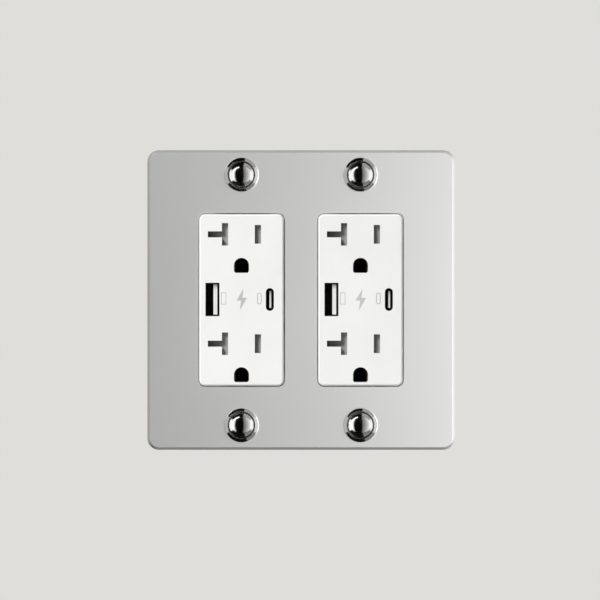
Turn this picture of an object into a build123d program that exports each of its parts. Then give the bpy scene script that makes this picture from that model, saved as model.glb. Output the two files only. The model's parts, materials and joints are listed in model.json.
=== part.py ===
from build123d import *
import math
import os

# Two-gang wall plate with two shuttered receptacles, each with a wide and an oval charging port.
# Millimetres: X to the right, Y into the wall, Z up. The wall plane is y = 0, the front faces -Y.
# A depth that is negative lies in front of the wall.

# wall plate
plate_width = 119.0
plate_height = 116.0
plate_front = -6.0
plate_corner = 4.5
plate_edge = 1.0
plate_wall = 2.0
plate_inner_corner = 1.6
gang_pitch = 46.04
opening_width = 33.6
opening_height = 67.2
opening_corner = 2.6

# domed screws of the plate, each in a tapered collar
plate_screw_z = 48.41
plate_screw_end = 7.0
small_screw_r = 1.75
tapped_r = 1.78
collar_r = 6.7
collar_height = 1.9
collar_rim = 0.6
collar_shoulder = (6.25, 1.2)
collar_lip_r = 5.5
collar_recess_r = 5.3
collar_recess_depth = 1.0
dome_r = 5.15
dome_height = 3.4
dome_steps = 3

# face cover of one receptacle
face_width = 32.6
face_height = 66.3
face_front = -7.0
face_corner = 2.2
face_edge = 0.5
face_wall = 1.8
skirt_side = 1.2
skirt_end = 1.3
rib = 0.8
port_rib_z = 9.4
outlet_centres = (25.4, -16.9)
ground_drop = 12.0
blade_x = 6.35
blade_slot = (2.4, 7.25)
t_slot_leg = (2.4, 8.7)
t_slot_end = -13.0
t_slot_arm = 2.35
ground_hole_r = 2.9
ground_hole_corner = 0.6

# snap hooks of the cover, which pass the strap and catch in the rear body
hook_x = 9.5
hook_width = 5.0
hook_outer_z = 32.4
hook_leg = 1.3
hook_nose = 0.9
hook_nose_length = 2.4
hook_back = 8.0

# charging ports
port_z = 0.2
wide_port_x = -11.23
wide_port_opening = (5.4, 12.9)
wide_port_inside = (5.3, 12.5)
wide_tongue = (0.32, 1.84)
wide_tongue_half = 5.8
oval_port_x = 10.97
oval_port_opening = (3.1, 8.8)
oval_port_inside = (2.66, 8.34)
oval_tongue = (-0.21, 0.51)
oval_tongue_half = 3.25
port_metal = 0.3
port_front = -5.15
tongue_front = -5.1

# shutters, which slide to +X
shutter_travel = 7.6
shutter_half = 5.4
shutter_front = -5.1
shutter_back = -1.7
shutter_web_front = -3.0
ramp_left = -13.1
ramp_right = -5.1
ramp_depth = 3.0
hot_ramp_half = 3.9
hot_left = 5.0
hot_right = 7.7
blade_window = (2.8, 8.4)
lug_right = 5.3
lug_width = 3.0
lug_front = -4.2
lane_end = 15.1
lane_low = -7.9
lane_high = -5.5
guide_gap = 0.05
guide_left = -14.2

# mounting strap
strap_front = -1.6
strap_width = 32.6
strap_body = 69.0
strap_ear_width = 22.0
strap_length = 106.4
box_screw_z = 41.67
box_screw_slot = (7.0, 4.0)
box_ear_front = 0.5
mounting_screw_end = 22.0
mounting_head_r = 3.4
mounting_head = 2.0
retainer_side = 9.4
retainer = 0.35
ground_stakes = (3.5, -6.5)
stake = 1.8
ground_tab_back = 10.4
ground_tab_z = (-45.0, -36.0)
ground_screw_y = 5.4
ground_screw_z = -40.5
ground_screw_end = -5.6
ground_head_corner_r = 4.2
ground_head = 2.6

# contacts
strip = 0.8
leaf = 0.5
bus_front = 13.0
rail_x = (4.4, 9.2)
leaf_mouth = (1.7, 1.4)
leaf_pinch = (0.92, 4.6)
leaf_root = 1.15
terminal_x = 15.2
terminal_y = 12.5
terminal_z = 5.0
terminal_plate_y = (6.6, 18.4)
terminal_plate_half = 9.7
terminal_screw_r = 2.08
terminal_head_r = 3.9
terminal_head = 2.4
clamp = 0.9
clamp_y = (7.6, 17.4)
clamp_half = 4.5
prong_x = 6.6
prong_z = 10.8

# boards and divider
port_board_front = 7.4
port_board_back = 8.6
board_width = 29.6
port_board_height = 19.0
power_board_height = 60.0
divider_front = bus_front + strip
divider_back = 15.0
power_board_front = 17.0
power_board_back = 18.6
header_x = 3.8
header_z = (-6.3, -3.7)

# parts on the power board
coil_z = 1.5
coil_r = 6.6
bobbin_flange = 1.0
bobbin_side = (17.0, 16.0)
winding_length = 8.4
core_width = (19.2, 8.0)
core_bar = 2.4
core_back = 1.8
capacitor_r = 4.2
capacitor_height = 11.6
capacitor_spots = ((-6.5, -17.5), (4.5, -18.5))

# rear body
body_width = 33.4
body_height = 68.0
body_depth = 33.0
body_wall = 1.5
body_corner = 1.2
ledge = (16.0, 1.2, 32.0)
window_y = (6.5, 18.5)
window_half = 9.8
wire_groove_x = 16.6
wire_groove = (1.0, 2.8)
pocket_depth = 0.6
pocket = (5.2, 56.0)


def slab(outline, front, back):
    # solid between two depths from an outline drawn as seen from the front
    sheet = Plane(origin=(0, back, 0), x_dir=(1, 0, 0), z_dir=(0, -1, 0)) * outline
    return extrude(sheet, back - front)


def block(x_low, x_high, front, back, z_low, z_high):
    middle = Pos((x_low + x_high) / 2, (front + back) / 2, (z_low + z_high) / 2)
    return middle * Box(x_high - x_low, back - front, z_high - z_low)


def rod(radius):
    # outline of small hidden screws and their holes, ten-sided to stay light; the flats touch the radius
    return RegularPolygon(radius, 10, major_radius=False)


def side_rod(y, z, radius, x_low, x_high):
    # small bar along X
    end = Plane(origin=(x_low, y, z), x_dir=(0, 1, 0), z_dir=(1, 0, 0))
    return extrude(end * rod(radius), x_high - x_low)


def bent_outline(points, thickness):
    # bent strip that runs roughly along its second coordinate
    near = [(a - thickness / 2, b) for a, b in points]
    far = [(a + thickness / 2, b) for a, b in points]
    return make_face(Polyline(*near, *reversed(far), close=True))


def plan_solid(outline, z_low, z_high):
    # solid between two heights from an outline drawn as seen from above
    return extrude(Pos(0, 0, z_low) * outline, z_high - z_low)


def plan_wedge(points, z_low, z_high):
    return plan_solid(make_face(Polyline(*points, close=True)), z_low, z_high)


def turned(points):
    # solid of revolution about Y from (radius, depth) points
    return revolve(make_face(Polyline(*points, close=True)), Axis.Y)


def cornered(width, height, cut):
    # rectangle with its corners cut off
    return chamfer(Rectangle(width, height).vertices(), cut)


def oval(width, height):
    return Rot(0, 0, 90) * SlotOverall(height, width)


def group(shapes):
    # separate solids that belong to one node
    return Part() + shapes


def at_spots(shape, spots):
    return group([Pos(x, 0, z) * shape for x, z in spots])


def t_slot_outline(centre):
    leg = Pos(-blade_x, centre) * Rectangle(*t_slot_leg)
    arm_length = -blade_x - t_slot_end
    return leg + Pos(t_slot_end + arm_length / 2, centre) * Rectangle(arm_length, t_slot_arm)


def ground_outline(centre):
    # round above, flat below
    lower = Pos(0, centre - ground_hole_r / 2) * Rectangle(2 * ground_hole_r, ground_hole_r)
    lower = chamfer(lower.vertices().group_by(Axis.Y)[0], ground_hole_corner)
    return Pos(0, centre) * Circle(ground_hole_r) + lower


def plate_screw_spots():
    return [(x * gang_pitch / 2, z * plate_screw_z) for x in (-1, 1) for z in (-1, 1)]


def wall_plate():
    body = slab(RectangleRounded(plate_width, plate_height, plate_corner), plate_front, 0)
    body = chamfer(body.faces().sort_by(Axis.Y)[0].edges(), plate_edge)
    hollow = cornered(plate_width - 2 * plate_wall, plate_height - 2 * plate_wall, plate_inner_corner)
    body -= slab(hollow, plate_front + plate_wall, 0)
    for side in (-1, 1):
        x = side * gang_pitch / 2
        window = Pos(x, 0) * RectangleRounded(opening_width, opening_height, opening_corner)
        body -= slab(window, plate_front, 0)
    for x, z in plate_screw_spots():
        body -= slab(Pos(x, z) * rod(small_screw_r + 0.3), plate_front, 0)
    return body


def screw_collar():
    shoulder_r, shoulder_height = collar_shoulder
    return turned([
        (collar_recess_r, plate_front),
        (collar_r, plate_front),
        (collar_r, plate_front - collar_rim),
        (shoulder_r, plate_front - shoulder_height),
        (collar_lip_r, plate_front - collar_height),
        (collar_recess_r, plate_front - collar_height),
    ])


def domed_screw():
    # the crown of the head is a part of a sphere, in steps
    base = plate_front - collar_height + collar_recess_depth
    sphere = (dome_r ** 2 + dome_height ** 2) / (2 * dome_height)
    centre = base - dome_height + sphere
    reach = math.asin(dome_r / sphere)
    points = [(0, plate_front), (0, base - dome_height)]
    for step in range(1, dome_steps + 1):
        angle = reach * step / dome_steps
        points.append((sphere * math.sin(angle), centre - sphere * math.cos(angle)))
    points.append((dome_r, plate_front))
    return turned(points) + slab(rod(small_screw_r), plate_front, plate_screw_end)


def cover_guides(centre):
    # ribs behind the front wall that lead one shutter and hold its spring
    front = face_front + face_wall
    back = strap_front
    guide_right = lane_end + 0.2
    stop_half = 4.0
    skirt_top = face_height / 2 - skirt_end + 0.05
    rail_high = centre + shutter_half + guide_gap
    rail_top = skirt_top if centre > 0 else rail_high + rib
    guides = block(guide_left, guide_right, front, back, rail_high, rail_top)
    # the lower rail leaves a gap for the lug that presses on the spring
    rail_low = centre - shutter_half - guide_gap
    guides += block(guide_left, -1.5, front, back, rail_low - rib, rail_low)
    lane = centre + lane_low
    guides += block(1.0, guide_right, front, back, lane - rib, lane)
    stop = (ramp_left - guide_gap, front, back, centre - stop_half, centre + stop_half)
    return guides + block(guide_left, *stop)


def snap_hook(x, end, front):
    # leg through the strap with a nose that catches in the end wall of the rear body
    low, high = sorted((end * (hook_outer_z - hook_leg), end * hook_outer_z))
    hook = block(x - hook_width / 2, x + hook_width / 2, front, hook_back, low, high)
    nose_front = hook_back - hook_nose_length
    nose = ((hook_back, hook_outer_z), (nose_front, hook_outer_z), (nose_front, hook_outer_z + hook_nose))
    outline = make_face(Polyline(*[(y, end * z) for y, z in nose], close=True))
    side = Plane(origin=(x - hook_width / 2, 0, 0), x_dir=(0, 1, 0), z_dir=(1, 0, 0))
    return hook + extrude(side * outline, hook_width)


def face_cover():
    cover = slab(RectangleRounded(face_width, face_height, face_corner), face_front, strap_front)
    cover = chamfer(cover.faces().sort_by(Axis.Y)[0].edges(), face_edge)
    inner = face_front + face_wall
    hollow = Rectangle(face_width - 2 * skirt_side, face_height - 2 * skirt_end)
    cover -= slab(hollow, inner, strap_front)
    for centre in outlet_centres:
        cover += cover_guides(centre)
        # the open shutter runs into a pocket of the side wall
        pocket_end = hot_right + shutter_travel + 0.2
        pocket_z = (centre - shutter_half, centre + shutter_half)
        cover -= block(lane_end - 1, pocket_end, inner, strap_front, *pocket_z)
    for z in (-port_rib_z, port_rib_z):
        cover += block(-lane_end - 0.1, lane_end + 0.1, inner, strap_front, z - rib / 2, z + rib / 2)
    for x in (-hook_x, hook_x):
        for end in (-1, 1):
            cover += snap_hook(x, end, inner)
    for centre in outlet_centres:
        openings = t_slot_outline(centre) + Pos(blade_x, centre) * Rectangle(*blade_slot)
        openings += ground_outline(centre - ground_drop)
        cover -= slab(openings, face_front, inner)
    ports = Pos(wide_port_x, port_z) * Rectangle(*wide_port_opening)
    ports += Pos(oval_port_x, port_z) * oval(*oval_port_opening)
    return cover - slab(ports, face_front, inner)


def ramp(left, right, z_low, z_high):
    # wedge that rises to the front towards the right
    slope = ramp_depth / (ramp_right - ramp_left)
    tip = shutter_front + slope * (right - left)
    outline = ((left, shutter_back), (left, tip), (right, shutter_front), (right, shutter_back))
    return plan_wedge(outline, z_low, z_high)


def shutter(centre):
    # slider with two ramps: only blades that press on both at once push it to the right
    low = centre - shutter_half
    high = centre + shutter_half
    slider = ramp(ramp_left, ramp_right, low, high)
    slider += block(ramp_right, hot_right, shutter_web_front, shutter_back, low, high)
    slider += ramp(hot_left, hot_right, centre - hot_ramp_half, centre + hot_ramp_half)
    # the window comes under the straight slot once the shutter has moved
    window = Pos(blade_x - shutter_travel, centre) * Rectangle(*blade_window)
    slider -= slab(window, lug_front, shutter_back)
    lug_low = centre + lane_low + guide_gap
    return slider + block(lug_right - lug_width, lug_right, lug_front, shutter_back, lug_low, low)


def shutter_spring(centre):
    # leaf folded to and fro between the lug and the end of its lane
    folds = 8
    fold_height = 0.8
    leaf_half = 0.35
    front = -3.8
    back = -2.2
    start = lug_right + guide_gap
    step = (lane_end - guide_gap - start) / folds
    middle = centre + (lane_low + lane_high) / 2
    ridge = []
    for fold in range(folds + 1):
        ridge.append((start + fold * step, middle + (fold_height if fold % 2 else -fold_height)))
    near = [(x, z - leaf_half) for x, z in ridge]
    far = [(x, z + leaf_half) for x, z in reversed(ridge)]
    return slab(make_face(Polyline(*near, *far, close=True)), front, back)


def mounting_strap():
    outline = cornered(strap_width, strap_body, 0.8)
    outline += cornered(strap_ear_width, strap_length, 2.4)
    hook_slot = Rectangle(hook_width + 0.2, hook_leg + 0.2)
    for end in (-1, 1):
        outline -= Pos(0, end * box_screw_z) * cornered(*box_screw_slot, 1.1)
        outline -= Pos(0, end * plate_screw_z) * rod(tapped_r)
        for side in (-1, 1):
            # notches where the ears break off, and slots for the hooks of the cover
            outline -= Pos(side * strap_ear_width / 2, end * 46.6) * Rectangle(3.0, 1.0)
            outline -= Pos(side * hook_x, end * (hook_outer_z - hook_leg / 2)) * hook_slot
    for centre in outlet_centres:
        outline -= Pos(-2.65, centre) * Rectangle(21.7, 9.2)
        outline -= Pos(0, centre - ground_drop) * Rectangle(6.4, 6.4)
    outline -= Pos(wide_port_x, port_z) * Rectangle(6.4, 13.8)
    outline -= Pos(oval_port_x, port_z) * Rectangle(3.8, 9.6)
    for z in ground_stakes:
        outline -= Pos(0, z) * Rectangle(stake + 0.04, stake + 0.04)
    strap = slab(outline, strap_front, 0)
    tab = -strap_ear_width / 2
    strap += block(tab, tab - strap_front, strap_front, ground_tab_back, *ground_tab_z)
    return strap - side_rod(ground_screw_y, ground_screw_z, terminal_screw_r + 0.03, tab - 1, tab + 3)


def ground_contact():
    # two clips on one strip, staked to the strap
    clips = [centre - ground_drop for centre in outlet_centres]
    leaf_half = 2.2
    outline = Pos(0, sum(clips) / 2) * Rectangle(4.6, clips[0] - clips[1])
    for z in clips:
        outline += Pos(0, z) * Rectangle(8.4, 6.4)
    for z in clips:
        outline -= Pos(0, z) * Rectangle(5.1, 5.5)
    contact = slab(outline, 0, strip)
    for z in clips:
        for side in (-1, 1):
            bend = ((side * 2.8, strip / 2), (side * 2.8, 1.6), (side * 2.46, 6.5), (side * 3.0, 11.5))
            contact += plan_solid(bent_outline(bend, leaf), z - leaf_half, z + leaf_half)
    for z in ground_stakes:
        contact += block(-stake / 2, stake / 2, strap_front - 0.3, strip, z - stake / 2, z + stake / 2)
    return contact


def leaf_bend(middle, side):
    # a leaf flares at its mouth, pinches the blade and stands on the rail
    return (
        (middle + side * leaf_mouth[0], leaf_mouth[1]),
        (middle + side * leaf_pinch[0], leaf_pinch[1]),
        (middle + side * leaf_root, bus_front + 0.2),
    )


def blade_leaves(centre, half_height):
    left, right = [bent_outline(leaf_bend(blade_x, side), leaf) for side in (-1, 1)]
    low = centre - half_height
    high = centre + half_height
    return plan_solid(left, low, high) + plan_solid(right, low, high)


def contact_rail():
    # flat rail behind both outlets, with the screw terminal folded to the side and a prong to the board
    low = outlet_centres[1] - 4.5
    high = outlet_centres[0] + 4.5
    rail = block(*rail_x, bus_front, divider_front, low, high)
    rail += block(rail_x[1], terminal_x + 0.1, bus_front, divider_front, -2.2, 2.2)
    half = terminal_plate_half
    terminal = block(terminal_x, terminal_x + strip, *terminal_plate_y, -half, half)
    for z in (-terminal_z, terminal_z):
        terminal -= side_rod(terminal_y, z, terminal_screw_r + 0.03, terminal_x - 1, terminal_x + 2)
    prong = Pos(prong_x, prong_z) * Rectangle(1.2, 1.6)
    return rail + terminal + slab(prong, divider_front, power_board_back + 0.8)


def line_contact():
    contact = contact_rail()
    for centre in outlet_centres:
        contact += blade_leaves(centre, 3.0)
    return contact


def neutral_contact():
    contact = contact_rail()
    for centre in outlet_centres:
        contact += blade_leaves(centre, 3.6)
        contact += block(rail_x[1] - 0.1, 13.0, bus_front, divider_front, centre - 4.4, centre + 4.4)
        for side in (-1, 1):
            # these leaves grip a blade that lies flat in the arm of the slot
            sheet = Plane(origin=(8.7, 0, centre), x_dir=(0, 0, 1), z_dir=(-1, 0, 0))
            contact += extrude(sheet * bent_outline(leaf_bend(0, side), leaf), -4.0)
    return mirror(contact, Plane.YZ)


def wide_port_shell():
    width, height = wide_port_inside
    outer = cornered(width + 2 * port_metal, height + 2 * port_metal, 0.4)
    shell = slab(outer, port_front, port_board_front)
    shell -= slab(Rectangle(width, height), port_front, port_board_front - port_metal)
    for z in (-3.3, 3.3):
        # windows of the spring tongues that grip a plug
        shell -= block(-width, width, -1.4, 2.4, z - 1.1, z + 1.1)
    return Pos(wide_port_x, 0, port_z) * shell


def oval_port_shell():
    width, height = oval_port_inside
    shell = slab(oval(width + 2 * port_metal, height + 2 * port_metal), port_front, port_board_front)
    shell -= slab(oval(width, height), port_front, port_board_front - port_metal)
    return Pos(oval_port_x, 0, port_z) * shell


def port_tongue(inside, corner, tongue, tongue_half, base_front):
    # block at the bottom of a port that carries its tongue
    base = cornered(inside[0] - 0.1, inside[1] - 0.1, corner)
    base = slab(base, base_front, port_board_front - port_metal)
    return base + block(*tongue, tongue_front, base_front, -tongue_half, tongue_half)


def power_board():
    outline = cornered(board_width, power_board_height, 1.5)
    for x in (-prong_x, prong_x):
        outline -= Pos(x, prong_z) * Rectangle(1.4, 1.8)
    return slab(outline, power_board_front, power_board_back)


def transformer():
    # bobbin with its winding, in a core that closes round it
    first = power_board_back + bobbin_flange
    second = first + winding_length
    flange = Pos(0, coil_z) * Rectangle(*bobbin_side)
    bobbin = slab(flange, power_board_back, first) + slab(flange, second, second + bobbin_flange)
    winding = slab(Pos(0, coil_z) * rod(coil_r), first, second)
    core_end = second + bobbin_flange + core_back
    core = slab(Pos(0, coil_z) * Rectangle(*core_width), first, core_end)
    core -= slab(Pos(0, coil_z) * Rectangle(core_width[0] - 2 * core_bar, core_width[1]), first, second)
    return bobbin + winding + core


def capacitors():
    can = slab(rod(capacitor_r), power_board_back, power_board_back + capacitor_height)
    return at_spots(can, capacitor_spots)


def inner_divider():
    # insulating plate between the contacts and the power board, with pegs that space both boards
    outline = Rectangle(30.2, 64.8)
    header_hole = Rectangle(2 * header_x + 0.2, header_z[1] - header_z[0] + 0.2)
    outline -= Pos(0, sum(header_z) / 2) * header_hole
    for side in (-1, 1):
        outline -= Pos(side * 13.0, 0) * Rectangle(4.4, 15.0)
        outline -= Pos(side * prong_x, prong_z) * Rectangle(1.4, 1.8)
    divider = slab(outline, divider_front, divider_back)
    for x in (-3.0, 3.0):
        for z in (-8.3, 8.3):
            divider += block(x - 0.9, x + 0.9, port_board_back, divider_front, z - 0.9, z + 0.9)
        for z in (-26.0, 22.0):
            divider += block(x - 1.2, x + 1.2, divider_back, power_board_front, z - 1.2, z + 1.2)
    return divider


def rear_body():
    body = slab(cornered(body_width, body_height, body_corner), 0, body_depth)
    body = chamfer(body.faces().sort_by(Axis.Y)[-1].edges(), 1.0)
    floor = body_depth - body_wall
    body -= slab(Rectangle(body_width - 2 * body_wall, body_height - 2 * body_wall), 0, floor)
    ledge_width, ledge_thickness, ledge_z = ledge
    for end in (-1, 1):
        # ledges at the ends carry the divider, windows take the hooks of the cover
        body += slab(Pos(0, end * ledge_z) * Rectangle(ledge_width, ledge_thickness), divider_back, floor)
        for x in (-hook_x, hook_x):
            window = Pos(x, end * (body_height / 2 - 1.0)) * Rectangle(hook_width + 0.2, 2.4)
            body -= slab(window, hook_back - hook_nose_length - 0.05, hook_back + 0.2)
    for side in (-1, 1):
        x = side * (terminal_x + 1.8)
        body -= block(x - 2.0, x + 2.0, *window_y, -window_half, window_half)
        # grooves beside the terminals take the stripped wires from behind
        for z in (-terminal_z, terminal_z):
            groove = Pos(side * wire_groove_x, z) * Rectangle(*wire_groove)
            body -= slab(groove, window_y[1] - 0.5, body_depth)
    for x in (-11.0, -3.7, 3.7, 11.0):
        # shallow pockets thin the floor beside its ribs
        body -= slab(Pos(x, 0) * Rectangle(*pocket), body_depth - pocket_depth, body_depth)
    return body


def terminal_pair(piece, side):
    # the same piece at both screws of one terminal; side is 1 on the right, -1 on the left
    pair = [Pos(0, 0, z) * piece for z in (-terminal_z, terminal_z)]
    return group(pair if side > 0 else [mirror(one, Plane.YZ) for one in pair])


def terminal_screws(side):
    seat = terminal_x + strip + clamp
    screw = side_rod(terminal_y, 0, terminal_screw_r, 11.3, seat)
    screw += side_rod(terminal_y, 0, terminal_head_r, seat, seat + terminal_head)
    return terminal_pair(screw, side)


def terminal_clamps(side):
    face = terminal_x + strip
    plate = block(face, face + clamp, *clamp_y, -clamp_half, clamp_half)
    plate -= side_rod(terminal_y, 0, terminal_screw_r + 0.05, face - 1, face + 2)
    return terminal_pair(plate, side)


def ground_screw():
    seat = -strap_ear_width / 2
    screw = side_rod(ground_screw_y, ground_screw_z, terminal_screw_r, seat, ground_screw_end)
    face = Plane(origin=(seat, ground_screw_y, ground_screw_z), x_dir=(0, 1, 0), z_dir=(-1, 0, 0))
    return screw + extrude(face * RegularPolygon(ground_head_corner_r, 6), ground_head)


def mounting_screws():
    # the plain neck under the head ends behind the retainer, where the ear of the box begins
    screw = slab(Circle(small_screw_r), box_ear_front, mounting_screw_end)
    screw += slab(rod(small_screw_r), strap_front, box_ear_front)
    screw += slab(rod(mounting_head_r), strap_front - mounting_head, strap_front)
    return at_spots(screw, ((0, box_screw_z), (0, -box_screw_z)))


def screw_retainers():
    washer = slab(Rectangle(retainer_side, retainer_side) - rod(tapped_r), 0, retainer)
    return at_spots(washer, ((0, box_screw_z), (0, -box_screw_z)))


def receptacle():
    upper, lower = outlet_centres
    wide_inner = port_tongue(wide_port_inside, 0.2, wide_tongue, wide_tongue_half, 3.0)
    oval_inner = port_tongue(oval_port_inside, 0.9, oval_tongue, oval_tongue_half, 2.4)
    return {
        "face_cover": face_cover(),
        "upper_shutter": shutter(upper),
        "lower_shutter": shutter(lower),
        "upper_shutter_spring": shutter_spring(upper),
        "lower_shutter_spring": shutter_spring(lower),
        "mounting_strap": mounting_strap(),
        "ground_contact": ground_contact(),
        "line_contact": line_contact(),
        "neutral_contact": neutral_contact(),
        "wide_port_shell": wide_port_shell(),
        "wide_port_tongue": Pos(wide_port_x, 0, port_z) * wide_inner,
        "oval_port_shell": oval_port_shell(),
        "oval_port_tongue": Pos(oval_port_x, 0, port_z) * oval_inner,
        "port_board": slab(Rectangle(board_width, port_board_height), port_board_front, port_board_back),
        "power_board": power_board(),
        "board_header": block(-header_x, header_x, port_board_back, power_board_front, *header_z),
        "transformer": transformer(),
        "capacitors": capacitors(),
        "inner_divider": inner_divider(),
        "rear_body": rear_body(),
        "line_screws": terminal_screws(1),
        "neutral_screws": terminal_screws(-1),
        "line_clamps": terminal_clamps(1),
        "neutral_clamps": terminal_clamps(-1),
        "ground_screw": ground_screw(),
        "mounting_screws": mounting_screws(),
        "screw_retainers": screw_retainers(),
    }


nodes = {
    "wall_plate": wall_plate(),
    "plate_screws": at_spots(domed_screw(), plate_screw_spots()),
    "screw_collars": at_spots(screw_collar(), plate_screw_spots()),
}
one_receptacle = receptacle()
for gang, side in (("left", -1), ("right", 1)):
    for name, shape in one_receptacle.items():
        nodes[gang + "_" + name] = Pos(side * gang_pitch / 2, 0, 0) * shape

os.makedirs("parts", exist_ok=True)
for name, shape in nodes.items():
    export_step(shape, "parts/" + name + ".step")
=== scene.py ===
import json
import math

import bmesh
import bpy
from mathutils import Matrix, Vector


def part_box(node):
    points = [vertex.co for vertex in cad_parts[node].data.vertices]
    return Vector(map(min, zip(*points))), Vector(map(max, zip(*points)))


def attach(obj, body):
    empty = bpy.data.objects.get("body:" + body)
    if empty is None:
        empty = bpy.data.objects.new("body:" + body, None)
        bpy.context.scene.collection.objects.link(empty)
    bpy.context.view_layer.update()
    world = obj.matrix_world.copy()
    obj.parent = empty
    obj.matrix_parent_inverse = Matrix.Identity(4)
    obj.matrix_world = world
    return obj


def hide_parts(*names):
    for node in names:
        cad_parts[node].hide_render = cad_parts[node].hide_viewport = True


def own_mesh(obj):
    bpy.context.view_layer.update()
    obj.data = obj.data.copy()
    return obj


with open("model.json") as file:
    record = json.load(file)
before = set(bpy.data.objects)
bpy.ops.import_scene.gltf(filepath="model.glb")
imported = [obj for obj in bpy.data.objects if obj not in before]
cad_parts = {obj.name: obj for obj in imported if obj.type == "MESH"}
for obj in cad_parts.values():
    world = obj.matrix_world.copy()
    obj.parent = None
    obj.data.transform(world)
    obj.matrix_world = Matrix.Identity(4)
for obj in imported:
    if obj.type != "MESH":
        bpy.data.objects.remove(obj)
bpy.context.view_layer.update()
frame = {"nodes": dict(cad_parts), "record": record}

mm = 0.001
gangSides = {"left": -1, "right": 1}
gangPitch = 46.04  # mm between the two receptacles
outletBody = "outlet"


def gangX(gang):
    return gangSides[gang] * gangPitch / 2


# mesh helpers, all in millimetres of the shared frame


def meshPiece(name, build, material, body=outletBody, smooth=True, stands=()):
    # build fills a bmesh in millimetres; the piece then rides on its body
    bm = bmesh.new()
    build(bm)
    bmesh.ops.scale(bm, vec=(mm, mm, mm), verts=bm.verts)
    bmesh.ops.recalc_face_normals(bm, faces=bm.faces)
    mesh = bpy.data.meshes.new(name)
    bm.to_mesh(mesh)
    bm.free()
    mesh.polygons.foreach_set("use_smooth", [smooth] * len(mesh.polygons))
    piece = bpy.data.objects.new(name, mesh)
    bpy.context.collection.objects.link(piece)
    materials = material if isinstance(material, (list, tuple)) else [material]
    for one in materials:
        mesh.materials.append(one)
    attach(piece, body)
    if stands:
        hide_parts(*stands)
    if smooth:
        sharpByAngle(piece)
    return piece


def sharpByAngle(piece, degrees=35):
    # edges sharper than this keep a crease while the rest is smooth
    mesh = piece.data
    bm = bmesh.new()
    bm.from_mesh(mesh)
    limit = math.radians(degrees)
    for edge in bm.edges:
        edge.smooth = len(edge.link_faces) == 2 and edge.calc_face_angle(0) < limit
    bm.to_mesh(mesh)
    bm.free()


def placement(origin, direction):
    # matrix that turns local +Z to the direction and moves to the origin
    turn = Vector(direction).to_track_quat("Z", "Y").to_matrix().to_4x4()
    return Matrix.Translation(Vector(origin)) @ turn


def lathe(bm, profile, origin, direction, steps=64, materialIndex=0):
    # turns (radius, height) points about an axis; ends on the axis are closed by a fan
    place = placement(origin, direction)
    rings = []
    for radius, height in profile:
        if radius < 1e-6:
            rings.append([bm.verts.new(place @ Vector((0, 0, height)))])
            continue
        ring = []
        for step in range(steps):
            angle = 2 * math.pi * step / steps
            point = Vector((radius * math.cos(angle), radius * math.sin(angle), height))
            ring.append(bm.verts.new(place @ point))
        rings.append(ring)
    for low, high in zip(rings, rings[1:]):
        for step in range(steps):
            after = (step + 1) % steps
            corners = []
            for vert in (
                low[step % len(low)],
                low[after % len(low)],
                high[after % len(high)],
                high[step % len(high)],
            ):
                if vert not in corners:
                    corners.append(vert)
            if len(corners) > 2:
                bm.faces.new(corners).material_index = materialIndex


def box(bm, low, high, bevel=0.0, segments=2, materialIndex=0):
    # box between two corners with softened edges
    before = set(bm.verts)
    made = bmesh.ops.create_cube(bm, size=1.0)["verts"]
    size = [b - a for a, b in zip(low, high)]
    middle = [(a + b) / 2 for a, b in zip(low, high)]
    bmesh.ops.scale(bm, vec=size, verts=made)
    bmesh.ops.translate(bm, vec=middle, verts=made)
    if bevel > 0:
        edges = list({edge for vert in made for edge in vert.link_edges})
        bmesh.ops.bevel(bm, geom=edges, offset=bevel, segments=segments, affect="EDGES", profile=0.5)
    fresh = [vert for vert in bm.verts if vert not in before]
    for face in {face for vert in fresh for face in vert.link_faces}:
        face.material_index = materialIndex


def tube(bm, points, radius, ring=8):
    # round wire through points
    rings = []
    for index, point in enumerate(points):
        ahead = points[min(index + 1, len(points) - 1)]
        behind = points[max(index - 1, 0)]
        tangent = (Vector(ahead) - Vector(behind)).normalized()
        side = tangent.cross(Vector((0, 0.31, 0.95))).normalized()
        other = tangent.cross(side)
        rings.append([
            bm.verts.new(Vector(point) + radius * (math.cos(a) * side + math.sin(a) * other))
            for a in [2 * math.pi * k / ring for k in range(ring)]
        ])
    for low, high in zip(rings, rings[1:]):
        for k in range(ring):
            bm.faces.new((low[k], low[(k + 1) % ring], high[(k + 1) % ring], high[k]))
    bm.faces.new(rings[0])
    bm.faces.new(reversed(rings[-1]))


threadShape = {
    "pitch": 0.79,  # 32 turns to the inch
    "depth": 0.28,
    "tip": 0.7,  # length of the tapered end
    "taper": 0.8,
    "runIn": 0.6,  # the groove grows to its depth over this length under the head
    "steps": 20,
    "rowsPerTurn": 6,
}


def thread(bm, origin, direction, radius, length):
    # screw thread as one helical surface, with a chamfered tip
    place = placement(origin, direction)
    steps = threadShape["steps"]
    pitch = threadShape["pitch"]
    rows = int(length / pitch * threadShape["rowsPerTurn"])
    rings = []
    for row in range(rows + 1):
        height = length * row / rows
        ring = []
        for step in range(steps):
            turn = step / steps
            phase = (height / pitch - turn) % 1.0
            wave = abs(2 * phase - 1)
            grown = min(1.0, height / threadShape["runIn"]) if row < rows else 0.0
            r = radius - threadShape["depth"] * (1 - wave) * grown
            r -= max(0.0, height - (length - threadShape["tip"])) * threadShape["taper"]
            angle = 2 * math.pi * turn
            ring.append(bm.verts.new(place @ Vector((r * math.cos(angle), r * math.sin(angle), height))))
        rings.append(ring)
    for low, high in zip(rings, rings[1:]):
        for k in range(steps):
            bm.faces.new((low[k], low[(k + 1) % steps], high[(k + 1) % steps], high[k]))
    bm.faces.new(rings[0])
    bm.faces.new(reversed(rings[-1]))


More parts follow.
